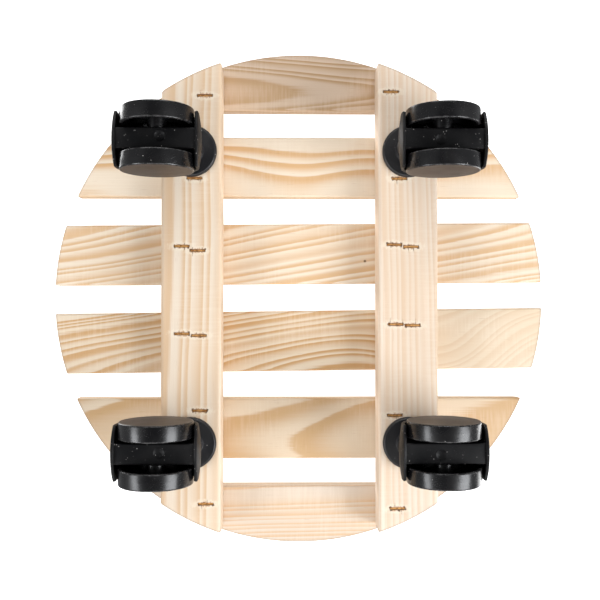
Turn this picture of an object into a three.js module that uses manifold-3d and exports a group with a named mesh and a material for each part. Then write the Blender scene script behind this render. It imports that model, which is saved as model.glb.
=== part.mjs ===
// A round wooden plant pot caddy on four twin-wheel swivel casters.
// Six slats, stapled to two cross rails and sawn to a circle, carry the pot. Each caster turns in a socket
// that is pressed into a rail. Millimetres, +Z up, origin on the floor under the middle of the deck.
// The slats run along X and the rails along Y; the front is at -Y.
import * as THREE from "three";
import { mergeVertices } from "three/addons/utils/BufferGeometryUtils.js";
import Module from "manifold-3d";

const wasm = await Module();
wasm.setup();

// ---- Driving dimensions --------------------------------------------------------------------------------

const deckRadius = 150;
const deckFacets = 120; // straight pieces that the round outline is sawn in

const slatWidth = 37;
const slatThickness = 11;
const slatEdgeRadius = 1.5; // every long edge of a slat is rounded
const slatPitch = 53.7;
const slatCount = 6;
const slatTilts = { 3: -0.4, 4: -0.7 }; // degrees off square, as they were stapled by hand
const railWidth = 35.4;
const railThickness = 20;
const railEdgeRadius = 2;
const railOffset = 64.2; // middle of the deck to the middle of a rail
const railEndRadius = 146.5; // their ends were sawn a little inside the slats' outline

const casterHeight = 50; // floor to the underside of a rail
const casterFromMiddle = 86; // of each caster's stem, along its rail
const trail = 15; // stem to axle

const wheelRadius = 20.5;
const wheelFacets = 30;
const wheelGap = 16.2; // between the two wheels' rims
const treadWidth = 9.2;

const fit = 0.3; // gap between pieces that touch

// ---- Heights that follow --------------------------------------------------------------------------------

const railBottom = casterHeight;
const slatBottom = railBottom + railThickness;
const axleHeight = wheelRadius;
const boardLength = 2 * deckRadius + 10; // before the outline is sawn

// ---- Small tools ----------------------------------------------------------------------------------------

// The geometry as a manifold solid, with its shared vertices merged.
function solid(geometry) {
  const bare = geometry.clone();
  bare.deleteAttribute("normal");
  bare.deleteAttribute("uv");
  const merged = mergeVertices(bare, 1e-4);
  return new wasm.Manifold(
    new wasm.Mesh({
      numProp: 3,
      vertProperties: new Float32Array(merged.attributes.position.array),
      triVerts: new Uint32Array(merged.index.array),
    }),
  );
}

// The manifold solid as a three.js geometry.
function geometryOf(made) {
  const mesh = made.getMesh();
  const geometry = new THREE.BufferGeometry();
  geometry.setAttribute("position", new THREE.BufferAttribute(mesh.vertProperties, 3));
  geometry.setIndex(new THREE.BufferAttribute(mesh.triVerts, 1));
  geometry.computeVertexNormals();
  return geometry;
}

function box(sizeX, sizeY, sizeZ, x, y, z) {
  return solid(new THREE.BoxGeometry(sizeX, sizeY, sizeZ).translate(x, y, z));
}

// A round bar standing along Z from one height to another. Its flats are at the stated radius.
function upright(radius, low, high, x, y, facets) {
  const corner = radius / Math.cos(Math.PI / facets);
  const bar = new THREE.CylinderGeometry(corner, corner, high - low, facets);
  return solid(bar.rotateX(Math.PI / 2).translate(x, y, (low + high) / 2));
}

// A closed profile of [radius, along] pairs turned about the Y axis.
function turned(profile, facets) {
  const points = profile.map(([radius, along]) => new THREE.Vector2(radius, along));
  return new THREE.LatheGeometry(points, facets, Math.PI / facets);
}

// The same profile turned about an upright axis through x, y.
function turnedUpright(profile, facets, x, y) {
  return turned(profile, facets).rotateX(Math.PI / 2).translate(x, y, 0);
}

// ---- Finishes ---------------------------------------------------------------------------------------------

const pine = new THREE.MeshStandardMaterial({ color: 0xf0d9bb, roughness: 0.62, metalness: 0 });
const blackPlastic = new THREE.MeshStandardMaterial({ color: 0x1b1a1c, roughness: 0.4, metalness: 0 });
const steel = new THREE.MeshStandardMaterial({ color: 0xb8bac0, roughness: 0.3, metalness: 1 });
const stapleWire = new THREE.MeshStandardMaterial({ color: 0xa0763f, roughness: 0.45, metalness: 1 });

const caddy = new THREE.Group();

function add(name, geometry, material) {
  const mesh = new THREE.Mesh(geometry, material.clone());
  mesh.name = name;
  caddy.add(mesh);
}

// ---- Staples ------------------------------------------------------------------------------------------------
// Wide-crown wire staples shot up through a rail into a slat, their crowns across the rail's grain.

const crownWidth = 8.8;
const crownSunk = 0.6; // below the rail's surface
const wireThickness = 1.0;
const wireWidth = 1.25;
const legLength = 26;

// Staple crowns on each rail, as [slat number, place along the rail from that slat's middle,
// place across the rail from its middle, towards the middle of the deck]. They were shot by hand.
const leftStaples = [
  [1, 15, 8],
  [2, 10.5, 2],
  [3, -3, -5.5],
  [3, -0.4, 4],
  [4, -5, -5.2],
  [4, -4, 4.8],
  [5, -13.5, 5.5],
  [6, -12.5, 9],
];
const rightStaples = [
  [1, 12.5, 10],
  [2, 10.5, 5],
  [3, -4, 8.2],
  [3, -2.8, -1.8],
  [4, -10.5, 7.4],
  [4, -10, -2.6],
  [5, -10.5, 8],
  [6, -9.5, 6.5],
];

// A staple's outline, grown by a gap on every side; open is how far the crown's slot reaches down.
function stapleGeometry(grow, open) {
  const half = crownWidth / 2 + grow;
  const inside = crownWidth / 2 - wireThickness - grow;
  const crownTop = wireThickness + grow;
  const tip = legLength + grow;
  const outline = new THREE.Shape();
  outline.moveTo(-half, -open);
  outline.lineTo(half, -open);
  outline.lineTo(half, tip);
  outline.lineTo(inside, tip);
  outline.lineTo(inside, crownTop);
  outline.lineTo(-inside, crownTop);
  outline.lineTo(-inside, tip);
  outline.lineTo(-half, tip);
  const depth = wireWidth + 2 * grow;
  const bar = new THREE.ExtrudeGeometry(outline, { depth, bevelEnabled: false });
  return bar.translate(0, 0, -depth / 2).rotateX(Math.PI / 2);
}

const slatMiddle = (number) => (number - (slatCount + 1) / 2) * slatPitch;

const staples = [];
for (const [sideName, side, places] of [["left", -1, leftStaples], ["right", 1, rightStaples]]) {
  const countOnSlat = {};
  for (const [slat, along, across] of places) {
    countOnSlat[slat] = (countOnSlat[slat] ?? 0) + 1;
    staples.push({
      name: `staple_${sideName}_slat_${slat}_${countOnSlat[slat]}`,
      x: side * railOffset + across * -side,
      y: slatMiddle(slat) + along,
    });
  }
}

const crownBottom = railBottom + crownSunk;
for (const { name, x, y } of staples) {
  add(name, stapleGeometry(0, 0).translate(x, y, crownBottom), stapleWire);
}
const stapleSlots = staples.map(({ x, y }) =>
  solid(stapleGeometry(fit, crownSunk + 1).translate(x, y, crownBottom)),
);

// ---- Sockets --------------------------------------------------------------------------------------------------
// A plastic sleeve with a round flange, pressed up into a rail. Inside, a groove holds the stem's grip ring.

const flangeRadius = 15.3;
const flangeThickness = 2.4;
const flangeBevel = 0.8;
const collarRadius = 7.4;
const collarDepth = 1.8; // below the flange
const sleeveRadius = 6;
const sleeveLength = 16; // above the flange
const boreRadius = 4.3;
const gripGrooveRadius = 4.95;
const gripHeight = railBottom + 9; // middle of the grip ring
const gripGrooveHalf = 1.4;
const sleeveTop = railBottom + sleeveLength;
const flangeBottom = railBottom - fit - flangeThickness;
const collarBottom = flangeBottom - collarDepth;
const socketFacets = 20;

const socketProfile = [
  [boreRadius, collarBottom],
  [collarRadius, collarBottom],
  [collarRadius, flangeBottom],
  [flangeRadius - flangeBevel, flangeBottom],
  [flangeRadius, flangeBottom + flangeBevel],
  [flangeRadius, railBottom - fit],
  [sleeveRadius, railBottom - fit],
  [sleeveRadius, sleeveTop],
  [boreRadius, sleeveTop],
  [boreRadius, gripHeight + gripGrooveHalf],
  [gripGrooveRadius, gripHeight + gripGrooveHalf],
  [gripGrooveRadius, gripHeight - gripGrooveHalf],
  [boreRadius, gripHeight - gripGrooveHalf],
  [boreRadius, collarBottom],
];

// Every caster's name and the place of its stem. Outwards is the way its wheels trail at rest.
const casters = [
  { name: "front_left", x: -railOffset, y: -casterFromMiddle, outwards: -1 },
  { name: "front_right", x: railOffset, y: -casterFromMiddle, outwards: 1 },
  { name: "back_left", x: -railOffset, y: casterFromMiddle, outwards: -1 },
  { name: "back_right", x: railOffset, y: casterFromMiddle, outwards: 1 },
];

const socketHoles = casters.map(({ x, y }) =>
  upright(sleeveRadius + fit, railBottom - 1, sleeveTop + fit, x, y, socketFacets),
);

// ---- Deck: slats and rails ---------------------------------------------------------------------------------

// A board with rounded long edges, lying along X with its underside at z = 0.
function board(width, thickness, round) {
  const halfWidth = width / 2;
  const section = new THREE.Shape();
  section.absarc(halfWidth - round, round, round, -Math.PI / 2, 0);
  section.absarc(halfWidth - round, thickness - round, round, 0, Math.PI / 2);
  section.absarc(-halfWidth + round, thickness - round, round, Math.PI / 2, Math.PI);
  section.absarc(-halfWidth + round, round, round, Math.PI, 1.5 * Math.PI);
  const options = { depth: boardLength, bevelEnabled: false, curveSegments: 3 };
  const bar = new THREE.ExtrudeGeometry(section, options).translate(0, 0, -boardLength / 2);
  return bar.rotateX(Math.PI / 2).rotateZ(Math.PI / 2);
}

// The board sawn to a round outline, with its staple slots and socket holes.
function sawn(geometry, radius) {
  const outline = new THREE.CylinderGeometry(radius, radius, 60, deckFacets).rotateX(Math.PI / 2);
  let made = solid(geometry).intersect(solid(outline.translate(0, 0, slatBottom)));
  for (const cutter of [...stapleSlots, ...socketHoles]) made = made.subtract(cutter);
  return geometryOf(made);
}

for (let number = 1; number <= slatCount; number += 1) {
  const tilt = ((slatTilts[number] ?? 0) * Math.PI) / 180;
  const slat = board(slatWidth, slatThickness, slatEdgeRadius).rotateZ(tilt);
  add(`slat_${number}`, sawn(slat.translate(0, slatMiddle(number), slatBottom + fit), deckRadius), pine);
}
for (const [sideName, side] of [["left", -1], ["right", 1]]) {
  const rail = board(railWidth, railThickness, railEdgeRadius).rotateZ(Math.PI / 2);
  add(`rail_${sideName}`, sawn(rail.translate(side * railOffset, 0, railBottom), railEndRadius), pine);
}

// ---- Stem and grip ring -------------------------------------------------------------------------------------
// The turned steel stem is fixed in the hood and turns in the socket, held up there by a split spring ring.

const stemRadius = 4;
const stemFootRadius = 3.5;
const stemFoot = 26; // height of its lower end, inside the hood's web
const stemShoulder = collarBottom - 0.2;
const stemTop = sleeveTop - 2;
const stemChamfer = 0.8;
const gripGrooveFloor = 3;
const ringInner = gripGrooveFloor + fit;
const ringOuter = 4.6;
const ringHalf = 0.9;
const ringGrooveHalf = ringHalf + fit;
const ringSplit = 1.2;
const stemFacets = 16;

const stemProfile = [
  [0, stemFoot],
  [stemFootRadius, stemFoot],
  [stemFootRadius, stemShoulder],
  [stemRadius, stemShoulder],
  [stemRadius, gripHeight - ringGrooveHalf],
  [gripGrooveFloor, gripHeight - ringGrooveHalf],
  [gripGrooveFloor, gripHeight + ringGrooveHalf],
  [stemRadius, gripHeight + ringGrooveHalf],
  [stemRadius, stemTop - stemChamfer],
  [stemRadius - stemChamfer, stemTop],
  [0, stemTop],
];

const ringProfile = [
  [ringInner, gripHeight - ringHalf],
  [ringOuter, gripHeight - ringHalf],
  [ringOuter, gripHeight + ringHalf],
  [ringInner, gripHeight + ringHalf],
  [ringInner, gripHeight - ringHalf],
];

function gripRing(x, y) {
  const split = box(2 * ringOuter, ringSplit, 4 * ringHalf, x + ringOuter, y, gripHeight);
  return geometryOf(solid(turnedUpright(ringProfile, stemFacets, x, y)).subtract(split));
}

// ---- Hood ---------------------------------------------------------------------------------------------------
// A moulded cover over both wheels, with a web between them that holds the axle and the stem. It is drawn
// about the axle: Y along the axle, X rearwards of the stem, and turned to its caster afterwards.

const hoodRadius = 24.6; // outside, at the middle of its width
const hoodCrown = 1.5; // how much smaller it is at its sides
const hoodThickness = 1.8;
const hoodHalfWidth = 15.5;
const hoodFacets = 32;
const hoodMouthMiddle = -8.2; // height of the front and rear edges from the axle, at mid width
const hoodMouthSide = -3.9; // and at the sides
const webHalfWidth = 5.7;
const webBottom = -6.5;
const neckRadius = 6.2;
const neckTop = collarBottom - 0.5 - axleHeight;
const neckFoot = 11;
const dimpleRadius = 3.8;
const dimpleDepth = 0.8;
const dimpleForward = 3; // of the axle, towards the stem

// Rows of a barrel's profile across its width; its radius shrinks by a parabola to the sides.
function barrel(middleRadius, halfWidth) {
  const steps = 4;
  const rows = [[0, -halfWidth]];
  for (let step = 0; step <= steps; step += 1) {
    const across = halfWidth * ((2 * step) / steps - 1);
    rows.push([middleRadius - hoodCrown * (across / hoodHalfWidth) ** 2, across]);
  }
  rows.push([0, halfWidth]);
  return solid(turned(rows, hoodFacets));
}

// Everything below the curved mouth of the hood, as a solid along X.
function belowMouth() {
  const steps = 6;
  const reach = hoodHalfWidth + 2;
  const shape = new THREE.Shape();
  shape.moveTo(-reach, -40);
  shape.lineTo(reach, -40);
  for (let step = 0; step <= steps; step += 1) {
    const across = reach * (1 - (2 * step) / steps);
    const rise = (hoodMouthSide - hoodMouthMiddle) * (across / hoodHalfWidth) ** 2;
    shape.lineTo(across, hoodMouthMiddle + rise);
  }
  const length = 80;
  const bar = new THREE.ExtrudeGeometry(shape, { depth: length, bevelEnabled: false });
  return solid(bar.translate(0, 0, -length / 2).rotateX(Math.PI / 2).rotateZ(Math.PI / 2));
}

function makeHood() {
  const outside = barrel(hoodRadius, hoodHalfWidth);
  const shell = outside
    .subtract(barrel(hoodRadius - hoodThickness, hoodHalfWidth + 1))
    .subtract(belowMouth());
  const webHeight = 40;
  const web = box(60, 2 * webHalfWidth, webHeight, 0, 0, webBottom + webHeight / 2).intersect(outside);
  const neck = upright(neckRadius, neckFoot, neckTop, -trail, 0, socketFacets);
  const stemHole = upright(
    stemFootRadius + fit, stemFoot - fit - axleHeight, neckTop + 1, -trail, 0, stemFacets,
  );
  const axleHole = solid(
    new THREE.CylinderGeometry(axleRadius + fit, axleRadius + fit, 60, axleFacets),
  );
  const dimple = upright(
    dimpleRadius, webBottom - 1, webBottom + dimpleDepth, -dimpleForward, 0, stemFacets,
  );
  return shell.add(web).add(neck).subtract(stemHole).subtract(axleHole).subtract(dimple);
}

// ---- Axle and wheels ---------------------------------------------------------------------------------------
// Each wheel is one moulding that turns on its end of a steel pin: a domed outer face, a plain tread, and an
// open inner side with a hub.

const axleRadius = 2.5;
const axleHalf = 14.2;
const axleChamfer = 0.5;
const axleFacets = 12;

const axleProfile = [
  [0, -axleHalf],
  [axleRadius - axleChamfer, -axleHalf],
  [axleRadius, -axleHalf + axleChamfer],
  [axleRadius, axleHalf - axleChamfer],
  [axleRadius - axleChamfer, axleHalf],
  [0, axleHalf],
];

const rimInner = wheelGap / 2; // distances along the axle from the middle of the hood
const rimOuter = rimInner + treadWidth;
const domeHeight = 0.9;
const rimRound = 0.8;
const rimThickness = 2.6;
const discThickness = 2.4;
const hubRadius = 5;
const hubInner = webHalfWidth + 0.4;
const hubBoreRadius = axleRadius + fit;
const hubBoreEnd = axleHalf + fit;
const flatToCorner = 1 / Math.cos(Math.PI / wheelFacets); // its flats touch the floor

const wheelProfile = [
  [hubBoreRadius, hubBoreEnd],
  [hubBoreRadius, hubInner],
  [hubRadius, hubInner],
  [hubRadius, rimOuter - discThickness],
  [wheelRadius - rimThickness, rimOuter - discThickness],
  [wheelRadius - rimThickness, rimInner],
  [wheelRadius * flatToCorner, rimInner],
  [wheelRadius * flatToCorner, rimOuter - rimRound],
  [wheelRadius - rimRound, rimOuter],
  [wheelRadius / 2, rimOuter + 0.7 * domeHeight],
  [0, rimOuter + domeHeight],
];

// ---- Casters --------------------------------------------------------------------------------------------------

const hood = makeHood();
const wheel = turned([[0, hubBoreEnd], ...wheelProfile], wheelFacets);

for (const { name, x, y, outwards } of casters) {
  const turn = outwards > 0 ? 0 : Math.PI;
  const axleX = x + outwards * trail;
  // toward is +1 for the wheel on the +Y side, -1 for the one on the -Y side.
  const wheelAt = (toward) =>
    wheel.clone().rotateZ(toward > 0 ? 0 : Math.PI).translate(axleX, y, axleHeight);
  const inward = y > 0 ? -1 : 1;

  add(`${name}_socket`, turnedUpright(socketProfile, socketFacets, x, y), blackPlastic);
  add(`${name}_stem`, turnedUpright(stemProfile, stemFacets, x, y), steel);
  add(`${name}_grip_ring`, gripRing(x, y), steel);
  add(`${name}_hood`, geometryOf(hood).rotateZ(turn).translate(axleX, y, axleHeight), blackPlastic);
  add(`${name}_axle`, turned(axleProfile, axleFacets).translate(axleX, y, axleHeight), steel);
  add(`${name}_wheel_inner`, wheelAt(inward), blackPlastic);
  add(`${name}_wheel_outer`, wheelAt(-inward), blackPlastic);
}

export default caddy;
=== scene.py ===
import math
import random

import bpy
from mathutils import Matrix, Vector


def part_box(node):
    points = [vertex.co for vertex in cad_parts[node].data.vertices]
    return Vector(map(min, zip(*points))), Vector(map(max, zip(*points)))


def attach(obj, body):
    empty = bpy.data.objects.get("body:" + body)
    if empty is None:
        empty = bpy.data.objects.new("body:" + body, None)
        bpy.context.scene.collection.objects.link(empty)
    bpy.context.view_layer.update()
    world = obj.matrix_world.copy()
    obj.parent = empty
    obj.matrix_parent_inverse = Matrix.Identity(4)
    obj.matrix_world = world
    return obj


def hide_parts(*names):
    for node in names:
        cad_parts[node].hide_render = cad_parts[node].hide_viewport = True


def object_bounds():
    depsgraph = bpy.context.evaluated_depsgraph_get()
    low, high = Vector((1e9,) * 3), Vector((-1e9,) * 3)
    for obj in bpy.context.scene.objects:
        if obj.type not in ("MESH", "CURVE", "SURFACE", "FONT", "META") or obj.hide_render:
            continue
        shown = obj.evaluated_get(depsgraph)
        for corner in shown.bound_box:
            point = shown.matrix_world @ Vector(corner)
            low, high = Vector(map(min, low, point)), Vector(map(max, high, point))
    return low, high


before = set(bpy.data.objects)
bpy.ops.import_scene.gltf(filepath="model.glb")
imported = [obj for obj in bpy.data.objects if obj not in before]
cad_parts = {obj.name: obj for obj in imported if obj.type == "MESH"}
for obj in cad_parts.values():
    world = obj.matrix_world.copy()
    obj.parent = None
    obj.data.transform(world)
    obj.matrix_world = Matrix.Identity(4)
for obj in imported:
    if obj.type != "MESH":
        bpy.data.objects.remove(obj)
cad_low, cad_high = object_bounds()


# ---- Slats ---------------------------------------------------------------------------------------------------
# Six boards of bare planed pine, laid across the rails and sawn to one circle after they were stapled down.
# The planer rounded their long edges; the sawn ends were only brushed with sandpaper.

mm = 0.001
deck_radius = cad_high.y
saw_round = 0.45 * mm
slat_edge_round = 1.5 * mm
slat_width = 37 * mm
sawing_waste = 20 * mm
slat_tilts = {"slat_3": math.radians(-0.4), "slat_4": math.radians(-0.7)}


def select_only(piece):
    bpy.ops.object.select_all(action="DESELECT")
    piece.select_set(True)
    bpy.context.view_layer.objects.active = piece


def new_primitive(name, add, **settings):
    """A primitive under its own name, the only thing selected, with its place applied to its mesh."""
    bpy.ops.object.select_all(action="DESELECT")
    add(**settings)
    piece = bpy.context.object
    piece.name = name
    piece.data.name = name
    bpy.ops.object.transform_apply(location=True, rotation=True, scale=True)
    return piece


def new_box(name, middle, size, turn=0.0):
    return new_primitive(
        name, bpy.ops.mesh.primitive_cube_add,
        size=1, location=middle, rotation=(0, 0, turn), scale=size,
    )


def pick(piece, kind, wanted):
    """Selects only the wanted vertices, edges or faces, and goes into edit mode."""
    select_only(piece)
    mesh = piece.data
    for part in (mesh.vertices, mesh.edges, mesh.polygons):
        part.foreach_set("select", [False] * len(part))
    chosen = {"VERT": mesh.vertices, "EDGE": mesh.edges, "FACE": mesh.polygons}[kind]
    for element in chosen:
        element.select = wanted(element)
    bpy.context.tool_settings.mesh_select_mode = (kind == "VERT", kind == "EDGE", kind == "FACE")
    bpy.ops.object.mode_set(mode="EDIT")


def leave_edit():
    bpy.ops.object.mode_set(mode="OBJECT")


def edge_direction(piece, edge):
    start, end = (piece.data.vertices[i].co for i in edge.vertices)
    return (end - start).normalized()


def apply_modifiers(piece):
    select_only(piece)
    for modifier in list(piece.modifiers):
        bpy.ops.object.modifier_apply(modifier=modifier.name)


def combine(piece, tool, operation):
    """Joins the tool to the piece, or cuts the piece by it, and takes the tool away."""
    boolean = piece.modifiers.new("combine", "BOOLEAN")
    boolean.object = tool
    boolean.operation = operation
    boolean.solver = "EXACT"
    boolean.use_self = True
    apply_modifiers(piece)
    bpy.data.objects.remove(tool)


def soften_edges(piece, width, segments=3, over=50):
    """Rounds every edge that is sharper than the given angle in degrees, and smooths the shading."""
    bevel = piece.modifiers.new("soften", "BEVEL")
    bevel.width = width
    bevel.segments = segments
    bevel.limit_method = "ANGLE"
    bevel.angle_limit = math.radians(over)
    bevel.use_clamp_overlap = True
    apply_modifiers(piece)
    smooth(piece)


def smooth(piece, angle=32):
    select_only(piece)
    bpy.ops.object.shade_smooth_by_angle(angle=math.radians(angle))


def sawn_board(name, middle, size, edge_round, outline_radius, turn=0.0):
    """A board with rounded long edges, sawn to a circle round the deck's middle."""
    piece = new_box(name, middle, size)
    length_axis = 0 if size[0] > size[1] else 1
    pick(piece, "EDGE", lambda edge: abs(edge_direction(piece, edge)[length_axis]) > 0.9)
    bpy.ops.mesh.bevel(offset=edge_round, segments=5, affect="EDGES")
    leave_edit()
    piece.data.transform(
        Matrix.Translation(middle) @ Matrix.Rotation(turn, 4, "Z") @ Matrix.Translation(-middle)
    )
    outline = new_primitive(
        "outline", bpy.ops.mesh.primitive_cylinder_add,
        vertices=360, radius=outline_radius, depth=4 * size[2], location=(0, 0, middle.z),
    )
    combine(piece, outline, "INTERSECT")
    return piece


def add_node(tree, kind, settings=None, **inputs):
    """A node with its settings, and its inputs given by name as values or as sockets to link."""
    made = tree.nodes.new(kind)
    for key, value in (settings or {}).items():
        setattr(made, key, value)
    for key, value in inputs.items():
        socket = made.inputs[int(key[1:])] if key[1:].isdigit() else made.inputs[key.replace("_", " ")]
        if isinstance(value, bpy.types.NodeSocket):
            tree.links.new(value, socket)
        else:
            socket.default_value = value
    return made


def calculate(tree, operation, first, second=0.0, third=0.0):
    made = add_node(
        tree, "ShaderNodeMath", {"operation": operation}, i0=first, i1=second, i2=third
    )
    return made.outputs[0]


def blend_colours(tree, factor, first, second, kind="MIX"):
    """Two colours blended by a factor; first and second are colours or sockets."""
    made = add_node(
        tree, "ShaderNodeMix", {"data_type": "RGBA", "blend_type": kind}, i0=factor, i6=first, i7=second
    )
    return made.outputs[2]


def vector_maths(tree, operation, first, second=(0, 0, 0)):
    return add_node(tree, "ShaderNodeVectorMath", {"operation": operation}, i0=first, i1=second).outputs[0]


def length_of(tree, vector):
    return add_node(tree, "ShaderNodeVectorMath", {"operation": "LENGTH"}, i0=vector).outputs["Value"]


def part_of(tree, vector, axis):
    """One of a vector's three numbers."""
    return add_node(tree, "ShaderNodeSeparateXYZ", None, i0=vector).outputs["XYZ".index(axis)]


def between(tree, value, low, high):
    """0 below low, 1 above high, with a soft step between them."""
    made = add_node(
        tree, "ShaderNodeMapRange", {"interpolation_type": "SMOOTHSTEP"},
        i0=value, i1=low, i2=high, i3=0.0, i4=1.0,
    )
    return made.outputs[0]


def noise(tree, vector, stretch, detail=2.0, roughness=0.5):
    """Noise whose features are stretched by scaling the point it is read at."""
    return add_node(
        tree, "ShaderNodeTexNoise", None,
        Vector=vector_maths(tree, "MULTIPLY", vector, stretch), Scale=1.0, Detail=detail, Roughness=roughness,
    )


def ring_noise(tree, rings, scale):
    """A value that changes from one ring to the next."""
    made = add_node(
        tree, "ShaderNodeTexNoise", {"noise_dimensions": "1D"}, W=rings, Scale=scale, Detail=0.0
    )
    return made.outputs[0]


def roughen(tree, shader, height, strength, distance):
    """Sets the shader's normal from a height."""
    bump = add_node(tree, "ShaderNodeBump", None, Strength=strength, Distance=distance, Height=height)
    tree.links.new(bump.outputs[0], shader.inputs["Normal"])


def new_group(name, inputs, outputs):
    """An empty shader node group with the named sockets; returns it with its two end nodes."""
    tree = bpy.data.node_groups.new(name, "ShaderNodeTree")
    for socket_name, socket_type, default in inputs:
        socket = tree.interface.new_socket(socket_name, in_out="INPUT", socket_type=socket_type)
        if default is not None:
            socket.default_value = default
    for socket_name in outputs:
        tree.interface.new_socket(socket_name, in_out="OUTPUT", socket_type="NodeSocketFloat")
    return tree, tree.nodes.new("NodeGroupInput").outputs, tree.nodes.new("NodeGroupOutput").inputs


def make_growth_rings():
    """The figure of sawn softwood. Its point is in millimetres from the pith, with the trunk along X.
    Late is 1 on the dark latewood lines, Fibre is the fine streaks, Fleck the short resin dashes and Chatter
    the faint marks that the planer's knives left across the grain."""
    tree, given, result = new_group(
        "growth rings",
        [
            ("Point", "NodeSocketVector", None),
            ("Ring Width", "NodeSocketFloat", 3.0),
            ("Taper", "NodeSocketFloat", 0.03),
            ("Wander", "NodeSocketFloat", 6.0),
            ("Knot Place", "NodeSocketVector", None),
            ("Knot Reach", "NodeSocketFloat", 20.0),
            ("Knot Push", "NodeSocketFloat", 0.0),
        ],
        ["Late", "Fibre", "Fleck", "Cloud", "Chatter"],
    )
    point = given["Point"]
    drift = noise(tree, point, (0.007, 0.018, 0.018), detail=1.5).outputs["Color"]
    drift = vector_maths(tree, "SUBTRACT", drift, (0.5, 0.5, 0.5))
    drift = add_node(
        tree, "ShaderNodeVectorMath", {"operation": "SCALE"}, i0=drift, Scale=given["Wander"]
    ).outputs[0]
    bent = vector_maths(tree, "ADD", point, drift)
    radius = length_of(tree, vector_maths(tree, "MULTIPLY", bent, (0, 1, 1)))
    along = part_of(tree, point, "X")

    from_knot = vector_maths(tree, "SUBTRACT", point, given["Knot Place"])
    distance = length_of(tree, vector_maths(tree, "MULTIPLY", from_knot, (0.6, 1, 0)))
    ratio = calculate(tree, "DIVIDE", distance, given["Knot Reach"])
    squared = calculate(tree, "MULTIPLY", ratio, ratio)
    swelling = calculate(tree, "EXPONENT", calculate(tree, "MULTIPLY", squared, -1.0))
    radius = calculate(tree, "MULTIPLY_ADD", swelling, given["Knot Push"], radius)

    grown = calculate(tree, "MULTIPLY_ADD", along, given["Taper"], radius)
    rings = calculate(tree, "DIVIDE", grown, given["Ring Width"])
    rings = calculate(tree, "MULTIPLY_ADD", ring_noise(tree, rings, 0.63), 1.5, rings)
    ragged = noise(tree, point, (0.03, 1.1, 1.1), detail=2.0).outputs[0]
    rings = calculate(tree, "MULTIPLY_ADD", ragged, 0.14, rings)
    season = calculate(tree, "FRACT", rings)
    rise = between(tree, season, 0.08, 0.78)
    fall = between(tree, season, 1.0, 0.88)
    late = calculate(tree, "MULTIPLY", rise, fall)
    strength = between(tree, ring_noise(tree, rings, 0.9), -0.1, 0.5)
    tree.links.new(calculate(tree, "MULTIPLY", late, strength), result["Late"])

    fibre = noise(tree, point, (0.03, 2.6, 2.6), detail=4.0, roughness=0.6).outputs[0]
    tree.links.new(fibre, result["Fibre"])
    dashes = noise(tree, point, (0.11, 2.4, 2.4), detail=1.0).outputs[0]
    tree.links.new(between(tree, dashes, 0.7, 0.8), result["Fleck"])
    cloud = noise(tree, point, (0.012, 0.035, 0.035), detail=3.0).outputs[0]
    tree.links.new(cloud, result["Cloud"])
    ripples = noise(tree, point, (0.9, 0.05, 0.05), detail=2.0).outputs[0]
    patches = noise(tree, point, (0.02, 0.05, 0.05), detail=1.0).outputs[0]
    chatter = calculate(
        tree, "MULTIPLY", between(tree, ripples, 0.4, 0.65), between(tree, patches, 0.4, 0.6)
    )
    tree.links.new(chatter, result["Chatter"])
    return tree


def make_sawn_edge():
    """1 on the sawn round edge of the deck, falling to 0 inside it, broken up by the saw's strokes."""
    tree, given, result = new_group(
        "sawn edge", [("Place", "NodeSocketVector", None), ("Radius", "NodeSocketFloat", 0.15)],
        ["Edge", "Strokes"],
    )
    reach = length_of(tree, vector_maths(tree, "MULTIPLY", given["Place"], (1, 1, 0)))
    patchy = noise(tree, given["Place"], (900, 900, 900), detail=2.0).outputs[0]
    reach = calculate(tree, "MULTIPLY_ADD", patchy, 0.0007, reach)
    inner = calculate(tree, "SUBTRACT", given["Radius"], 0.0010)
    outer = calculate(tree, "SUBTRACT", given["Radius"], 0.0001)
    tree.links.new(between(tree, reach, inner, outer), result["Edge"])
    strokes = noise(tree, given["Place"], (500, 500, 2600), detail=2.0).outputs[0]
    tree.links.new(strokes, result["Strokes"])
    return tree


growth_rings = make_growth_rings()
sawn_edge = make_sawn_edge()
fading_length = 45
heartwood = (0.78, 0.56, 0.36, 1)
fibre_brown = (0.55, 0.36, 0.19, 1)
planer_shine = (0.97, 0.88, 0.76, 1)
resin_brown = (0.42, 0.25, 0.12, 1)
sawn_edge_shade_grey = (0.46, 0.35, 0.27, 1)
knot_brown = (0.19, 0.11, 0.06, 1)


def new_material(name, **shader_values):
    """A material whose Principled shader has the given plain values, with its tree, place and shader."""
    material = bpy.data.materials.new(name)
    material.use_nodes = True
    tree = material.node_tree
    shader = tree.nodes["Principled BSDF"]
    for key, value in shader_values.items():
        shader.inputs[key.replace("_", " ")].default_value = value
    place = tree.nodes.new("ShaderNodeTexCoord").outputs["Object"]
    return material, tree, place, shader


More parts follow.
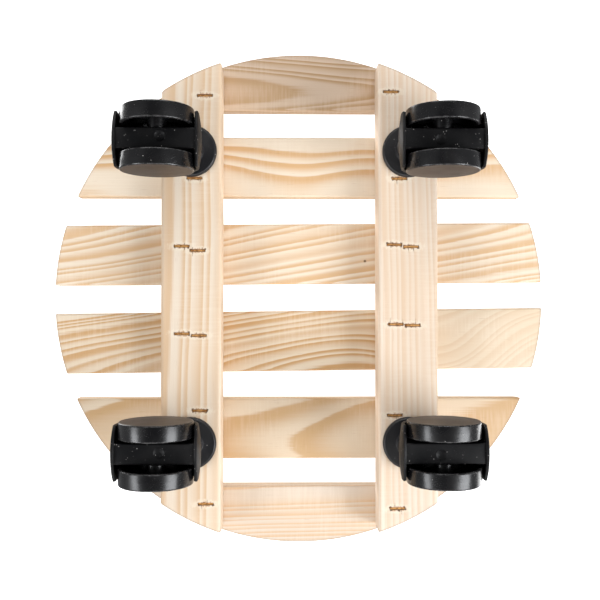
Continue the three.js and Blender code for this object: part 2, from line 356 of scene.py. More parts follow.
def pine(name, pith, ring_width, taper, wander=7.0, grain_along="X", pale=(0.86, 0.74, 0.59),
         dark=(0.69, 0.42, 0.20), depth=1.0, knot=(0, 0, 0), knot_reach=20.0, knot_push=0.0, pin_knot=None,
         fades_from=None, outline_radius=deck_radius):
    """Bare pine. Pith is where the tree's middle lies from the deck's origin, in millimetres, as the board's
    own along, across and up; pale and dark are the early and late wood."""
    material, tree, place, shader = new_material(name, Specular_IOR_Level=0.32)
    turn = 0.0 if grain_along == "X" else -math.pi / 2
    to_log = add_node(
        tree, "ShaderNodeMapping", None, Vector=place,
        Location=(-pith[0], -pith[1], -pith[2]), Rotation=(0, 0, turn), Scale=(1000, 1000, 1000),
    )
    rings = add_node(
        tree, "ShaderNodeGroup", {"node_tree": growth_rings}, Point=to_log.outputs[0],
        Ring_Width=ring_width, Taper=taper, Wander=wander,
        Knot_Place=(knot[0] - pith[0], knot[1] - pith[1], 0), Knot_Reach=knot_reach, Knot_Push=knot_push,
    ).outputs
    edge = add_node(
        tree, "ShaderNodeGroup", {"node_tree": sawn_edge}, Place=place, Radius=outline_radius
    ).outputs

    late = calculate(tree, "MULTIPLY", rings["Late"], depth)
    if fades_from:
        along = part_of(tree, place, "X")
        fade_and_reflection_share = between(tree, along, fades_from * mm, (fades_from + fading_length) * mm)
        late = calculate(tree, "MULTIPLY", late, calculate(tree, "MULTIPLY_ADD", fade_and_reflection_share, -0.75, 1.0))
    colour = blend_colours(tree, late, (*pale, 1), (*dark, 1))
    cloud = between(tree, rings["Cloud"], 0.3, 0.75)
    warm = blend_colours(tree, calculate(tree, "MULTIPLY", cloud, 0.3), colour, heartwood)
    fibre = between(tree, rings["Fibre"], 0.25, 0.8)
    streaked = blend_colours(tree, calculate(tree, "MULTIPLY", fibre, 0.13), warm, fibre_brown)
    planed = calculate(tree, "MULTIPLY", rings["Chatter"], 0.1)
    streaked = blend_colours(tree, planed, streaked, planer_shine)
    flecks = calculate(tree, "MULTIPLY", rings["Fleck"], 0.3)
    flecked = blend_colours(tree, flecks, streaked, resin_brown)
    # The grey round the sawn edge is painted shade on the arris, made ragged like the saw's tear-out.
    sawn = blend_colours(tree, calculate(tree, "MULTIPLY", edge["Edge"], 0.5), flecked, sawn_edge_shade_grey)
    if pin_knot:
        from_pin = add_node(
            tree, "ShaderNodeVectorMath", {"operation": "DISTANCE"}, i0=place,
            i1=(pin_knot[0] * mm, pin_knot[1] * mm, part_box("slat_2")[0].z),
        ).outputs["Value"]
        torn_edge = calculate(tree, "MULTIPLY_ADD", rings["Fibre"], 0.0012, from_pin)
        sawn = blend_colours(tree, between(tree, torn_edge, 0.0017, 0.0009), sawn, knot_brown)
    tree.links.new(sawn, shader.inputs["Base Color"])

    dull = calculate(tree, "MULTIPLY_ADD", rings["Fibre"], 0.2, 0.5)
    dull = calculate(tree, "MULTIPLY_ADD", edge["Edge"], 0.2, dull)
    tree.links.new(calculate(tree, "MULTIPLY_ADD", rings["Late"], -0.12, dull), shader.inputs["Roughness"])
    height = calculate(tree, "MULTIPLY_ADD", rings["Fibre"], 0.5, rings["Late"])
    strokes = calculate(tree, "MULTIPLY", edge["Edge"], edge["Strokes"])
    height = calculate(tree, "MULTIPLY_ADD", strokes, 2.5, height)
    roughen(tree, shader, height, 0.35, 0.12 * mm)
    return material


def finish_piece(piece, material, slot, body, *nodes):
    """Gives the piece its material, and sets it on its body in place of the CAD nodes. The slot is not used."""
    piece.data.materials.clear()
    piece.data.materials.append(material)
    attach(piece, body)
    if nodes:
        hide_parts(*nodes)


slat_figures = {
    # slat_1 has darker pale and dark than the other boards: painted shade for the end of the deck that gets
    # less light.
    "slat_1": dict(pith=(0, -127, 90), ring_width=2.35, taper=0.05, wander=5.0,
                   pale=(0.69, 0.535, 0.405), dark=(0.49, 0.30, 0.15)),
    "slat_2": dict(pith=(0, -66, 130), ring_width=3.0, taper=0.006, wander=10.0),
    "slat_3": dict(pith=(0, -60, 100), ring_width=3.6, taper=0.126, depth=0.85, pin_knot=(40.5, -22.4)),
    "slat_4": dict(pith=(0, 52, 95), ring_width=3.0, taper=-0.139, wander=6.0, dark=(0.59, 0.34, 0.145),
                   pale=(0.79, 0.66, 0.50), fades_from=45, knot=(92, 36, 0), knot_reach=26.0, knot_push=16.0),
    "slat_5": dict(pith=(0, 88, 130), ring_width=6.5, taper=-0.075, wander=8.0, dark=(0.58, 0.35, 0.155),
                   pale=(0.77, 0.635, 0.475), depth=0.9),
    "slat_6": dict(pith=(0, 112, 110), ring_width=1.6, taper=0.01, wander=3.0, depth=0.7,
                   pale=(0.73, 0.63, 0.53)),
}

for slat_name, figure in slat_figures.items():
    low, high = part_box(slat_name)
    number = int(slat_name[-1])
    if number in (1, 6):
        inner_edge = high.y if number == 1 else low.y
        middle_y = inner_edge + math.copysign(slat_width / 2, inner_edge)
    else:
        middle_y = (low.y + high.y) / 2
    middle = Vector((0, middle_y, (low.z + high.z) / 2))
    size = (2 * deck_radius + sawing_waste, slat_width, high.z - low.z)
    tilt = slat_tilts.get(slat_name, 0.0)
    slat = sawn_board(f"{slat_name}_board", middle, size, slat_edge_round, deck_radius, tilt)
    soften_edges(slat, saw_round)
    finish_piece(slat, pine(f"pine {slat_name}", **figure), "wood", "deck", slat_name)


# ---- Rails ---------------------------------------------------------------------------------------------------
# Two thicker pine battens under the slats. Their ends were sawn with the deck, and the staples that were
# shot up through them left torn slots across the grain.

rail_end_radius = 146.5 * mm
rail_edge_round = 2.0 * mm
slot_tear = 0.45 * mm
split_width = 0.35 * mm
crushed_pale = (0.93, 0.82, 0.66, 1)
rust_brown = (0.50, 0.25, 0.08, 1)
slot_shade_and_rust_brown = (0.24, 0.10, 0.03, 1)
rail_figures = {
    "rail_left": dict(pith=(0, 96, 20), ring_width=4.4, taper=0.008, wander=5.0, depth=0.65,
                      pale=(0.87, 0.75, 0.61)),
    "rail_right": dict(pith=(0, -110, 30), ring_width=3.3, taper=0.012, wander=5.0, depth=0.38,
                       pale=(0.88, 0.75, 0.62)),
}
staple_names = sorted(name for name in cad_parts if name.startswith("staple_"))
torn = random.Random(7)


def torn_slot(staple):
    """The ragged slot over one sunk staple crown, as a tool to cut the rail with."""
    low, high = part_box(staple)
    middle = (low + high) / 2
    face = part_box("rail_left")[0].z
    depth = 2 * (low.z - face) + 1.6 * mm
    slot = new_box("slot", Vector((middle.x, middle.y, face)),
                   (high.x - low.x + 0.5 * mm, high.y - low.y + 0.3 * mm, depth))
    for end in (-1, 1, torn.choice((-0.3, 0.2, 0.5))):
        place = Vector((
            middle.x + end * (high.x - low.x) / 2 * 0.93,
            middle.y + torn.uniform(-1, 1) * slot_tear,
            face,
        ))
        size = (torn.uniform(0.9, 1.6) * mm, torn.uniform(1.5, 2.7) * mm, depth * torn.uniform(0.5, 0.9))
        tear = new_box("tear", place, size, torn.uniform(-0.6, 0.6))
        combine(slot, tear, "UNION")
    for end in (torn.uniform(-0.95, -0.3), torn.uniform(0.2, 0.95)):
        place = Vector((
            middle.x + end * (high.x - low.x) / 2,
            middle.y + torn.uniform(-1.2, 1.2) * mm,
            face,
        ))
        size = (split_width, torn.uniform(2.5, 5.5) * mm, depth * torn.uniform(0.3, 0.6))
        combine(slot, new_box("split", place, size, torn.uniform(-0.05, 0.05)), "UNION")
    return slot


def bruise(material, staples):
    """Crushed pale fibres and brown rust round the staples of one rail, and painted shade with rust stain
    inside their slots.
    """
    tree = material.node_tree
    colour_input = tree.nodes["Principled BSDF"].inputs["Base Color"]
    bare = colour_input.links[0].from_socket
    place = tree.nodes.new("ShaderNodeTexCoord").outputs["Object"]
    nearest = 1.0
    for staple in staples:
        low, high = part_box(staple)
        away = vector_maths(tree, "SUBTRACT", place, (low + high) / 2)
        away = length_of(tree, vector_maths(tree, "MULTIPLY", away, (0.35, 1, 0)))
        nearest = calculate(tree, "MINIMUM", nearest, away)
    ragged = noise(tree, place, (900, 330, 400), detail=3.0, roughness=0.65).outputs[0]
    reach = calculate(tree, "MULTIPLY_ADD", ragged, 4.4 * mm, nearest)
    halo = calculate(tree, "MULTIPLY", between(tree, reach, 5.6 * mm, 4.2 * mm), 0.5)
    crushed = blend_colours(tree, halo, bare, crushed_pale)
    rust = calculate(tree, "MULTIPLY", between(tree, reach, 4.0 * mm, 2.9 * mm), 0.75)
    rusted = blend_colours(tree, rust, crushed, rust_brown)
    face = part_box("rail_left")[0].z
    # Inside the slots the wood is darkened: painted shade in the recess, together with rust stain.
    under_face = between(tree, part_of(tree, place, "Z"), face + 0.05 * mm, face + 0.3 * mm)
    inside = calculate(tree, "MULTIPLY", under_face, between(tree, nearest, 2.3 * mm, 2.0 * mm))
    darkened = blend_colours(tree, calculate(tree, "MULTIPLY", inside, 0.6), rusted, slot_shade_and_rust_brown)
    tree.links.new(darkened, colour_input)


for rail_name, figure in rail_figures.items():
    low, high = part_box(rail_name)
    middle = Vector(((low.x + high.x) / 2, 0, (low.z + high.z) / 2))
    size = (high.x - low.x, 2 * deck_radius + sawing_waste, high.z - low.z)
    rail = sawn_board(f"{rail_name}_board", middle, size, rail_edge_round, rail_end_radius)
    soften_edges(rail, saw_round)
    side = rail_name.split("_")[1]
    own_staples = [name for name in staple_names if f"_{side}_" in name]
    for staple_name in own_staples:
        combine(rail, torn_slot(staple_name), "DIFFERENCE")
    smooth(rail)
    rail_pine = pine(f"pine {rail_name}", grain_along="Y", outline_radius=rail_end_radius, **figure)
    bruise(rail_pine, own_staples)
    finish_piece(rail, rail_pine, "wood", "deck", rail_name)


# ---- Staples -------------------------------------------------------------------------------------------------
# Wide-crown staples of flattened, lacquered wire, driven by air until their crowns sank below the wood.

wire_round = 0.28 * mm
crown_thickness = 1.0 * mm


def make_staple_wire():
    material, tree, place, shader = new_material("staple wire", Metallic=0.15, Specular_IOR_Level=0.5)
    drawn = noise(tree, place, (600, 9000, 9000), detail=2.0).outputs[0]
    tarnish = between(tree, noise(tree, place, (700, 700, 700), detail=3.0).outputs[0], 0.35, 0.7)
    colour = blend_colours(tree, tarnish, (0.78, 0.42, 0.14, 1), (0.36, 0.15, 0.045, 1))
    tree.links.new(colour, shader.inputs["Base Color"])
    tree.links.new(calculate(tree, "MULTIPLY_ADD", tarnish, 0.3, 0.34), shader.inputs["Roughness"])
    roughen(tree, shader, drawn, 0.4, 0.04 * mm)
    return material


staple_wire = make_staple_wire()


def staple(name):
    """A crown with its two legs drawn up into the wood, bent on a small radius at both corners."""
    low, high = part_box(name)
    middle = Vector(((low.x + high.x) / 2, (low.y + high.y) / 2, low.z + crown_thickness / 2))
    half = (high.x - low.x) / 2
    wire = new_box(f"{name}_wire", middle, (2 * half, high.y - low.y, crown_thickness))
    pick(wire, "FACE", lambda face: True)
    for side in (-1, 1):
        bpy.ops.mesh.select_all(action="SELECT")
        cut = middle.x + side * (half - crown_thickness)
        bpy.ops.mesh.bisect(plane_co=(cut, middle.y, middle.z), plane_no=(1, 0, 0))
    leave_edit()
    inside = half - crown_thickness
    pick(wire, "FACE", lambda face: face.normal.z > 0.9 and abs(face.center.x - middle.x) > inside)
    leg = high.z - low.z - crown_thickness
    bpy.ops.mesh.extrude_faces_move(TRANSFORM_OT_shrink_fatten={"value": leg})
    leave_edit()
    soften_edges(wire, wire_round, segments=2)
    return wire


for staple_name in staple_names:
    finish_piece(staple(staple_name), staple_wire, "staple_wire", "deck", staple_name)


# ---- Caster sockets ------------------------------------------------------------------------------------------
# A black plastic sleeve with a round flange, pushed up into the rail. The flange has a bevelled rim, and a
# raised collar round the stem takes the caster's thrust.


def turned(name, profile, sides=96):
    """A round piece on the Z axis, drawn ring by ring from a profile of (radius, height). A radius of 0 at
    either end closes it to a point, and a profile that ends where it starts makes a closed ring."""
    closed_ring = profile[0] == profile[-1]
    rows = [(max(radius, 0.01 * mm), height) for radius, height in profile]
    radius, height = rows[0]
    piece = new_primitive(
        name, bpy.ops.mesh.primitive_circle_add,
        vertices=sides, radius=radius, location=(0, 0, height), fill_type="NOTHING",
    )
    pick(piece, "EDGE", lambda edge: True)
    for next_radius, next_height in rows[1:]:
        bpy.ops.mesh.extrude_edges_move(TRANSFORM_OT_translate={"value": (0, 0, next_height - height)})
        grow = next_radius / radius
        bpy.ops.transform.resize(value=(grow, grow, 1), center_override=(0, 0, next_height))
        radius, height = next_radius, next_height
    bpy.ops.mesh.select_all(action="SELECT")
    if closed_ring:
        bpy.ops.mesh.remove_doubles(threshold=0.001 * mm)
    else:
        bpy.ops.mesh.remove_doubles(threshold=0.0001 * mm)
        bpy.ops.mesh.select_all(action="DESELECT")
        bpy.ops.mesh.select_non_manifold()
        bpy.ops.mesh.edge_face_add()
        bpy.ops.mesh.select_all(action="SELECT")
    bpy.ops.mesh.normals_make_consistent(inside=False)
    leave_edit()
    return piece


def rounded(corners, segments=4):
    """The profile with each (radius, height) corner that carries a third value rounded by that much."""
    done = []
    for index, corner in enumerate(corners):
        if len(corner) == 2:
            done.append(corner)
            continue
        here = Vector(corner[:2])
        before = Vector(corners[index - 1][:2])
        after = Vector(corners[(index + 1) % len(corners)][:2])
        start = here + (before - here).normalized() * corner[2]
        end = here + (after - here).normalized() * corner[2]
        for step in range(segments + 1):
            t = step / segments
            point = (1 - t) ** 2 * start + 2 * t * (1 - t) * here + t ** 2 * end
            done.append((point.x, point.y))
    return done


def placed(piece, location, rotation=(0, 0, 0)):
    """Turns and moves the piece, and applies that to its mesh."""
    select_only(piece)
    piece.location = location
    piece.rotation_euler = rotation
    bpy.ops.object.transform_apply(location=True, rotation=True, scale=True)
    return piece


def copy_of(piece, name):
    copied = piece.copy()
    copied.data = piece.data.copy()
    copied.name = name
    copied.data.name = name
    bpy.context.scene.collection.objects.link(copied)
    return copied


def make_handling():
    """What use leaves on moulded plastic: Haze is broad dullness, Scratch is fine scuffs and Dust is pale
    specks."""
    tree, given, result = new_group(
        "handling", [("Place", "NodeSocketVector", None), ("Dustiness", "NodeSocketFloat", 0.5)],
        ["Haze", "Scratch", "Dust"],
    )
    place = given["Place"]
    haze = noise(tree, place, (70, 70, 70), detail=4.0).outputs[0]
    tree.links.new(between(tree, haze, 0.3, 0.75), result["Haze"])
    turned_place = add_node(
        tree, "ShaderNodeMapping", None, Vector=place, Rotation=(0.5, 0.3, 0.7)
    ).outputs[0]
    lines = noise(tree, turned_place, (90, 2600, 2600), detail=2.0).outputs[0]
    patches = noise(tree, place, (160, 160, 160), detail=2.0).outputs[0]
    scratch = calculate(
        tree, "MULTIPLY", between(tree, lines, 0.62, 0.72), between(tree, patches, 0.45, 0.65)
    )
    tree.links.new(scratch, result["Scratch"])
    grains = add_node(
        tree, "ShaderNodeTexVoronoi", {"feature": "F1"}, Vector=place, Scale=620.0, Randomness=1.0
    ).outputs["Distance"]
    sparse = noise(tree, place, (330, 330, 330), detail=2.0).outputs[0]
    limit = calculate(tree, "MULTIPLY_ADD", given["Dustiness"], -0.16, 0.70)
    dust = calculate(
        tree, "MULTIPLY", between(tree, grains, 0.22, 0.12),
        between(tree, sparse, limit, calculate(tree, "ADD", limit, 0.06)),
    )
    tree.links.new(dust, result["Dust"])
    return tree


handling = make_handling()
scuff_grey = (0.07, 0.068, 0.066, 1)
rim_grey = (0.26, 0.25, 0.25, 1)
dust_grey = (0.42, 0.40, 0.38, 1)
painted_wood_reflection_brown = (0.07, 0.045, 0.032, 1)


def black_plastic(name, grain, roughness, dustiness, coarse=0.06 * mm, gloss=0.5, shade=1.0, rims=False):
    """Black moulded plastic. Grain is how many times per metre its surface texture repeats on each axis;
    rims says that the piece carries the rim attribute, where dust gathers, and the face attribute, where the
    mould's surface was left matt and a brown painted reflection of the wood is laid on."""
    material, tree, place, shader = new_material(name, Specular_IOR_Level=gloss)
    worn = add_node(
        tree, "ShaderNodeGroup", {"node_tree": handling}, Place=place, Dustiness=dustiness
    ).outputs
    clean = (0.0035 * shade, 0.0035 * shade, 0.0042 * shade, 1)
    hazy = (0.008 * shade, 0.0075 * shade, 0.0078 * shade, 1)
    hazed = blend_colours(tree, worn["Haze"], clean, hazy)
    scuffed = blend_colours(tree, calculate(tree, "MULTIPLY", worn["Scratch"], 0.5), hazed, scuff_grey)
    if rims:
        rim = add_node(tree, "ShaderNodeAttribute", {"attribute_name": "rim"}).outputs["Fac"]
        patchy = noise(tree, place, (420, 420, 420), detail=4.0, roughness=0.7).outputs[0]
        rim_dust = calculate(tree, "MULTIPLY", rim, between(tree, patchy, 0.42, 0.62))
        scuffed = blend_colours(tree, calculate(tree, "MULTIPLY", rim_dust, 0.2), scuffed, rim_grey)
    dusted = blend_colours(tree, calculate(tree, "MULTIPLY", worn["Dust"], 0.75), scuffed, dust_grey)
    if rims:
        # On the wheel's outer face, half the colour is a brown painted reflection of the wood above it.
        face = add_node(tree, "ShaderNodeAttribute", {"attribute_name": "face"}).outputs["Fac"]
        fade_and_reflection_share = calculate(tree, "MULTIPLY", face, 0.5)
        dusted = blend_colours(tree, fade_and_reflection_share, dusted, painted_wood_reflection_brown)
    tree.links.new(dusted, shader.inputs["Base Color"])
    surface = noise(tree, place, grain, detail=3.0).outputs[0]
    dull = calculate(tree, "MULTIPLY_ADD", worn["Haze"], 0.08, roughness - 0.05)
    dull = calculate(tree, "MULTIPLY_ADD", surface, 0.03, dull)
    if rims:
        dull = calculate(tree, "MULTIPLY_ADD", face, 0.2, dull)
    dull = calculate(tree, "MULTIPLY_ADD", worn["Scratch"], 0.2, dull)
    dull = calculate(tree, "MULTIPLY_ADD", worn["Dust"], 0.4, dull)
    tree.links.new(dull, shader.inputs["Roughness"])
    height = calculate(tree, "MULTIPLY_ADD", worn["Scratch"], -0.6, surface)
    height = calculate(tree, "MULTIPLY_ADD", worn["Dust"], 0.8, height)
    roughen(tree, shader, height, 0.3, coarse)
    return material


caster_names = ["front_left", "front_right", "back_left", "back_right"]
rail_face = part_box("rail_left")[0].z
collar_bottom, sleeve_top = (corner.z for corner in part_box("front_left_socket"))
flange_radius = 15.3 * mm
flange_bottom = rail_face - 2.7 * mm
rim_bevel = 1.0 * mm
collar_radius = 7.4 * mm
bore_radius = 4.3 * mm
sleeve_radius = 6.0 * mm

socket_profile = rounded(
    [
        (bore_radius, collar_bottom, 0.35 * mm),
        (collar_radius, collar_bottom, 0.6 * mm),
        (collar_radius + 0.2 * mm, flange_bottom, 0.5 * mm),
        (flange_radius - rim_bevel, flange_bottom, 0.35 * mm),
        (flange_radius, flange_bottom + rim_bevel, 0.35 * mm),
        (flange_radius, rail_face - 0.1 * mm),
        (sleeve_radius, rail_face - 0.1 * mm),
        (sleeve_radius, sleeve_top),
        (bore_radius, sleeve_top),
    ]
)
socket = turned("socket", socket_profile + socket_profile[:1])
smooth(socket, angle=40)
socket_plastic = black_plastic("socket plastic", (2600, 2600, 2600), 0.42, 0.5, shade=2.2)

for caster_name in caster_names:
    low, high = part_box(f"{caster_name}_socket")
    middle = (low + high) / 2
    fitted = placed(copy_of(socket, f"{caster_name}_flanged_socket"), (middle.x, middle.y, 0))
    finish_piece(fitted, socket_plastic, "black_plastic", "deck", f"{caster_name}_socket")
bpy.data.objects.remove(socket)


# ---- Stems, grip rings and axles -----------------------------------------------------------------------------
# Bright steel turned from bar. Each stem stands in its hood and turns in the socket, with a split ring in its
# groove, and each axle pin carries a wheel at either end. Only the neck of a stem shows.


def make_turned_steel():
    material, tree, place, shader = new_material("turned steel", Metallic=1.0)
    marks = noise(tree, place, (500, 500, 14000), detail=2.0).outputs[0]
    stain = between(tree, noise(tree, place, (260, 260, 260), detail=3.0).outputs[0], 0.4, 0.75)
    colour = blend_colours(tree, stain, (0.62, 0.62, 0.63, 1), (0.40, 0.37, 0.33, 1))
    tree.links.new(colour, shader.inputs["Base Color"])
    dull = calculate(tree, "MULTIPLY_ADD", marks, 0.18, 0.16)
    tree.links.new(calculate(tree, "MULTIPLY_ADD", stain, 0.15, dull), shader.inputs["Roughness"])
    roughen(tree, shader, marks, 0.3, 0.03 * mm)
    return material


turned_steel = make_turned_steel()
for caster_name in caster_names:
    for part_name in ("stem", "grip_ring", "axle"):
        for material_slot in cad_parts[f"{caster_name}_{part_name}"].material_slots:
            material_slot.material = turned_steel


# ---- Hoods ---------------------------------------------------------------------------------------------------
# Each caster's body is one black moulding: a barrelled hood over both wheels, open below and at its sides, on
# a thick web that stands between the wheels and holds the axle and the stem.

axle_height = 20.5 * mm
hood_half_width = 15.5 * mm
hood_radius = 24.6 * mm
hood_crown = 1.5 * mm
hood_wall = 1.8 * mm
mouth_middle = -8.2 * mm
mouth_side = -3.9 * mm
web_half = 5.7 * mm
web_bottom = -6.5 * mm
trail = 15 * mm
web_length = 60 * mm
web_height = 40 * mm
neck_radius = 6.2 * mm
neck_foot_radius = 8.2 * mm
neck_foot = 8 * mm
neck_flare = (17 * mm, 21 * mm)
neck_bore = 4.1 * mm
neck_bore_depth = 2 * mm
mark_radius = 3.1 * mm
mark_depth = 0.85 * mm
mark_place = (-2.6 * mm, 0.8 * mm)
neck_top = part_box("front_left_hood")[1].z - axle_height


def barrel_radius(across):
    return hood_radius - hood_crown * (across / hood_half_width) ** 2


def hood_shell():
    """A flat grid wrapped round the axle between its two mouth edges, then given its wall."""
    shell = new_primitive(
        "hood", bpy.ops.mesh.primitive_grid_add,
        x_subdivisions=72, y_subdivisions=20, size=2, location=(0, 0, 0),
    )
    for vertex in shell.data.vertices:
        across = vertex.co.y * hood_half_width
        radius = barrel_radius(across)
        mouth = mouth_middle + (mouth_side - mouth_middle) * (across / hood_half_width) ** 2
        end = math.pi / 2 - math.asin(mouth / radius)
        angle = vertex.co.x * end
        vertex.co = (radius * math.sin(angle), across, radius * math.cos(angle))
    pick(shell, "FACE", lambda face: True)
    bpy.ops.mesh.normals_make_consistent(inside=False)
    leave_edit()
    if shell.data.polygons[0].normal.dot(shell.data.polygons[0].center) < 0:
        shell.data.flip_normals()
    wall = shell.modifiers.new("wall", "SOLIDIFY")
    wall.thickness = hood_wall
    wall.offset = -1
    wall.use_even_offset = True
    apply_modifiers(shell)
    soften_edges(shell, 0.5 * mm, segments=3, over=50)
    return shell


def hood_web():
    """The upright web, its lower edges rounded, trimmed to end inside the hood's wall."""
    middle = Vector((0, 0, web_bottom + web_height / 2))
    web = new_box("web", middle, (web_length, 2 * web_half, web_height))
    pick(
        web, "EDGE",
        lambda edge: abs(edge_direction(web, edge).x) > 0.9
        and web.data.vertices[edge.vertices[0]].co.z < 0,
    )
    bpy.ops.mesh.bevel(offset=0.8 * mm, segments=3, affect="EDGES")
    leave_edit()
    steps = 12
    stations = [hood_half_width * (2 * step / steps - 1) for step in range(steps + 1)]
    rows = [(barrel_radius(across) - hood_wall / 2, across) for across in stations]
    drum = turned("drum", [(0, -hood_half_width)] + rows + [(0, hood_half_width)], 128)
    combine(web, placed(drum, (0, 0, 0), (math.pi / 2, 0, 0)), "INTERSECT")
    return web


def hood_neck():
    """The round neck that the stem stands in, flared where it meets the hood."""
    profile = rounded(
        [
            (0, neck_foot),
            (neck_foot_radius, neck_foot),
            (neck_foot_radius, neck_flare[0]),
            (neck_radius, neck_flare[1], 1.5 * mm),
            (neck_radius, neck_top, 0.5 * mm),
            (neck_bore, neck_top, 0.3 * mm),
            (neck_bore, neck_top - neck_bore_depth),
            (0, neck_top - neck_bore_depth),
        ]
    )
    return placed(turned("neck", profile, 64), (-trail, 0, 0))


def mould_mark():
    """The ball that leaves the moulding's shallow round sink mark in the web."""
    ball_radius = (mark_radius ** 2 + mark_depth ** 2) / (2 * mark_depth)
    mark = new_primitive(
        "mark", bpy.ops.mesh.primitive_uv_sphere_add,
        segments=96, ring_count=64, radius=ball_radius,
        location=(*mark_place, web_bottom + mark_depth - ball_radius),
    )
    pick(mark, "VERT", lambda vertex: vertex.co.x < -3.2 * mm and vertex.co.z > web_bottom)
    bpy.ops.transform.translate(value=(0, 0, 0.25 * mm))
    leave_edit()
    return mark


hood = hood_shell()
combine(hood, hood_web(), "UNION")
combine(hood, hood_neck(), "UNION")
combine(hood, mould_mark(), "DIFFERENCE")
smooth(hood, angle=28)
hood_plastic = black_plastic("hood plastic", (900, 3200, 3200), 0.48, 0.9, gloss=0.28)

for caster_name in caster_names:
    stem_low, stem_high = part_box(f"{caster_name}_stem")
    stem_x, stem_y = (stem_low.x + stem_high.x) / 2, (stem_low.y + stem_high.y) / 2
    outwards = math.copysign(1, stem_x)
    moulded = placed(
        copy_of(hood, f"{caster_name}_moulded_hood"),
        (stem_x + outwards * trail, stem_y, axle_height),
        (0, 0, 0 if outwards > 0 else math.pi),
    )
    finish_piece(moulded, hood_plastic, "black_plastic", f"{caster_name}_caster", f"{caster_name}_hood")
bpy.data.objects.remove(hood)


# ---- Wheels --------------------------------------------------------------------------------------------------
# Two to a caster, each one black moulding: a domed outer face, a plain tread with the mould's parting line
# round it, and an open inner side with a hub and thin ribs.

wheel_radius = 20.5 * mm
rim_inner = 8.1 * mm
rim_outer = 17.3 * mm
dome = 0.9 * mm
hub_radius = 5 * mm
hub_inner = 6.1 * mm
pin_radius = 2.8 * mm
pin_end = 14.5 * mm
disc_inner = rim_outer - 2.4 * mm
rim_inside = wheel_radius - 2.6 * mm
rib_count = 6
rib_width = 1.1 * mm
rib_depth = 4.4 * mm
rim_wear = 0.9 * mm


def wheel_moulding():
    """The wheel with its axle on Z, its inner side below."""
    parting = (rim_inner + rim_outer) / 2
    dome_rows = [
        (wheel_radius * share * 0.93, rim_outer + dome * (1 - share ** 2) - 0.1 * mm)
        for share in (0.96, 0.8, 0.6, 0.4, 0.2)
    ]
    corners = [
        (0, pin_end),
        (pin_radius, pin_end),
        (pin_radius, hub_inner, 0.3 * mm),
        (hub_radius, hub_inner, 0.4 * mm),
        (hub_radius + 0.3 * mm, disc_inner, 0.6 * mm),
        (rim_inside, disc_inner, 0.8 * mm),
        (rim_inside + 0.4 * mm, rim_inner, 0.3 * mm),
        (wheel_radius - 0.12 * mm, rim_inner, 0.55 * mm),
        (wheel_radius - 0.03 * mm, rim_inner + rim_wear),
        (wheel_radius - 0.01 * mm, parting - 0.25 * mm),
        (wheel_radius, parting),
        (wheel_radius - 0.01 * mm, parting + 0.25 * mm),
        (wheel_radius - 0.03 * mm, rim_outer - rim_wear),
        (wheel_radius - 0.12 * mm, rim_outer - 0.1 * mm, 0.75 * mm),
        (wheel_radius * 0.93, rim_outer),
        *dome_rows,
        (0, rim_outer + dome - 0.1 * mm),
    ]
    wheel = turned("wheel", rounded(corners), 112)
    for index in range(rib_count):
        angle = 2 * math.pi * (index + 0.5) / rib_count
        reach = (hub_radius + rim_inside) / 2
        rib = new_box(
            "rib", Vector((reach * math.cos(angle), reach * math.sin(angle), disc_inner - 1.8 * mm)),
            (rim_inside - hub_radius + 1.6 * mm, rib_width, rib_depth), angle,
        )
        combine(wheel, rib, "UNION")
    smooth(wheel, angle=35)
    rim = [
        min(vertex.co.z - rim_inner, rim_outer - vertex.co.z) < 0.9 * rim_wear
        and math.hypot(vertex.co.x, vertex.co.y) > wheel_radius - rim_wear
        for vertex in wheel.data.vertices
    ]
    # face marks the outer face, which the wheel plastic leaves matt and gives a painted reflection of the wood.
    face = [
        vertex.co.z > rim_outer - 0.2 * mm and math.hypot(vertex.co.x, vertex.co.y) < wheel_radius * 0.97
        for vertex in wheel.data.vertices
    ]
    for name, places in (("rim", rim), ("face", face)):
        marked = wheel.data.attributes.new(name, "FLOAT", "POINT")
        marked.data.foreach_set("value", [float(at) for at in places])
    return wheel


wheel = wheel_moulding()
wheel_plastic = black_plastic(
    "wheel plastic", (1400, 1400, 1400), 0.26, 0.45, coarse=0.004 * mm, rims=True
)

for caster_name in caster_names:
    for which in ("inner", "outer"):
        wheel_node = f"{caster_name}_wheel_{which}"
        low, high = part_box(wheel_node)
        axle_low, axle_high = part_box(f"{caster_name}_axle")
        axle_y = (axle_low.y + axle_high.y) / 2
        toward = math.copysign(1, (low.y + high.y) / 2 - axle_y)
        moulded = placed(
            copy_of(wheel, f"{wheel_node}_moulding"),
            ((low.x + high.x) / 2, axle_y, axle_height),
            (-toward * math.pi / 2, 0, 0),
        )
        finish_piece(moulded, wheel_plastic, "black_plastic", f"{caster_name}_{which}_wheel", wheel_node)
bpy.data.objects.remove(wheel)


# ---- Floor and backdrop --------------------------------------------------------------------------------------
# Plain pale surfaces. The floor under the wheels shows only from above it, and the sheet over the deck, which
# the caddy lies on upside down, shows only from below. Neither is in the way of any light.


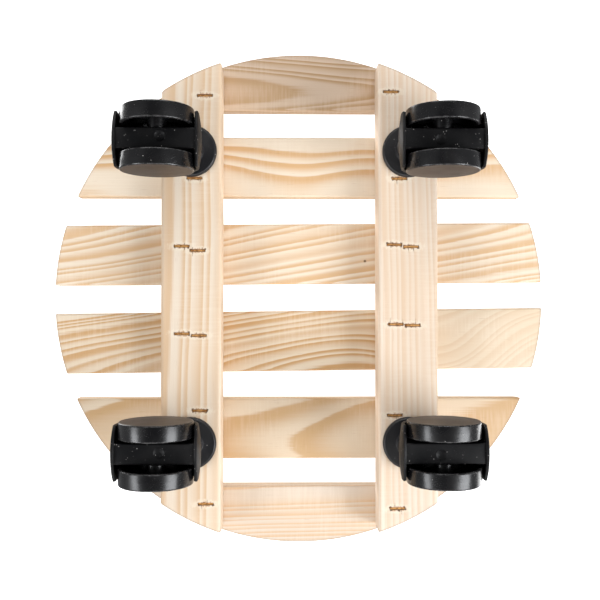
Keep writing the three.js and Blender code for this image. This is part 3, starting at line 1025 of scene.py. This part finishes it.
def one_sided(name, height, facing, colour, glow):
    sheet = new_primitive(
        name, bpy.ops.mesh.primitive_plane_add,
        size=8, location=(0, 0, height), rotation=(0 if facing > 0 else math.pi, 0, 0),
    )
    material = bpy.data.materials.new(name)
    material.use_nodes = True
    tree = material.node_tree
    tree.nodes.remove(tree.nodes["Principled BSDF"])
    front = add_node(tree, "ShaderNodeBsdfDiffuse", None, Color=(*colour, 1))
    light = add_node(tree, "ShaderNodeEmission", None, Color=(*colour, 1), Strength=glow)
    lit = add_node(tree, "ShaderNodeAddShader", None, i0=front.outputs[0], i1=light.outputs[0])
    clear = tree.nodes.new("ShaderNodeBsdfTransparent")
    behind = tree.nodes.new("ShaderNodeNewGeometry").outputs["Backfacing"]
    both = add_node(tree, "ShaderNodeMixShader", None, i0=behind, i1=lit.outputs[0], i2=clear.outputs[0])
    tree.links.new(both.outputs[0], tree.nodes["Material Output"].inputs["Surface"])
    sheet.data.materials.append(material)
    sheet.visible_shadow = False
    sheet.visible_diffuse = False
    sheet.visible_glossy = False


one_sided("floor", -0.2 * mm, 1, (0.80, 0.79, 0.78), 0.0)
one_sided("backdrop", cad_high.z + 0.4 * mm, -1, (1.0, 1.0, 1.0), 0.9)


# ---- Light ---------------------------------------------------------------------------------------------------
# Large soft boxes in a pale room: four low round the underside and two above the deck. The room is dark
# straight below, where the camera stands.


def soft_box(name, place, aim, size, watts, colour=(1, 1, 1)):
    light = bpy.data.lights.new(name, "AREA")
    light.shape = "RECTANGLE"
    light.size, light.size_y = size
    light.energy = watts
    light.color = colour
    holder = bpy.data.objects.new(name, light)
    holder.location = place
    holder.rotation_euler = (Vector(aim) - Vector(place)).to_track_quat("-Z", "Y").to_euler()
    bpy.context.scene.collection.objects.link(holder)


deck_middle = (0, 0, cad_high.z)
soft_box("under left", (-0.9, 0.38, -0.52), deck_middle, (0.6, 0.36), 5.6, (0.95, 0.97, 1.0))
soft_box("under right", (0.85, 0.38, -0.58), deck_middle, (0.6, 0.60), 11.0, (0.95, 0.97, 1.0))
soft_box("under back", (0.0, 0.9, -0.5), deck_middle, (1.0, 0.4), 4.0)
soft_box("under front", (0.0, -0.9, -0.5), deck_middle, (1.0, 0.4), 5.0)
soft_box("over left", (-1.0, -0.7, 1.0), deck_middle, (0.9, 0.9), 18.0)
soft_box("over right", (1.05, 0.5, 0.95), deck_middle, (0.9, 0.9), 11.0)

world = bpy.data.worlds.new("studio")
bpy.context.scene.world = world
world.use_nodes = True
studio = world.node_tree
direction = studio.nodes.new("ShaderNodeTexCoord").outputs["Generated"]
downwards = calculate(studio, "MULTIPLY", part_of(studio, direction, "Z"), -1.0)
open_floor = between(studio, downwards, 0.95, 0.8)
room = calculate(studio, "MULTIPLY_ADD", open_floor, 0.26, 0.1)
light_path = studio.nodes.new("ShaderNodeLightPath").outputs
seen = calculate(studio, "MULTIPLY", light_path["Is Camera Ray"], 0.8)
background = studio.nodes["Background"].inputs
studio.links.new(calculate(studio, "MAXIMUM", room, seen), background["Strength"])
background["Color"].default_value = (0.93, 0.94, 0.96, 1)
bpy.context.scene.view_settings.view_transform = "Standard"


# ---- Camera --------------------------------------------------------------------------------------------------
# Below the caddy, looking up at its underside with a slight lean towards the front and the right.

camera_distance = 473.8 * mm
camera_x, camera_y = -5.2 * mm, 8.8 * mm
lean_front = math.radians(0.87)
lean_right = math.radians(0.68)
slat_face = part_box("slat_2")[0].z
lens = bpy.data.cameras.new("camera")
lens.sensor_width = 36
lens.lens = 46.11
lens.clip_start = 0.01
camera = bpy.data.objects.new("camera", lens)
sight = Vector((math.tan(lean_right), -math.tan(lean_front), 1)).normalized()
sideways = Vector((0, -1, 0)).cross(-sight).normalized()
upwards = (-sight).cross(sideways)
turn = Matrix((sideways, upwards, -sight)).transposed().to_4x4()
camera.matrix_world = Matrix.Translation((camera_x, camera_y, slat_face - camera_distance)) @ turn
bpy.context.scene.collection.objects.link(camera)
bpy.context.scene.camera = camera
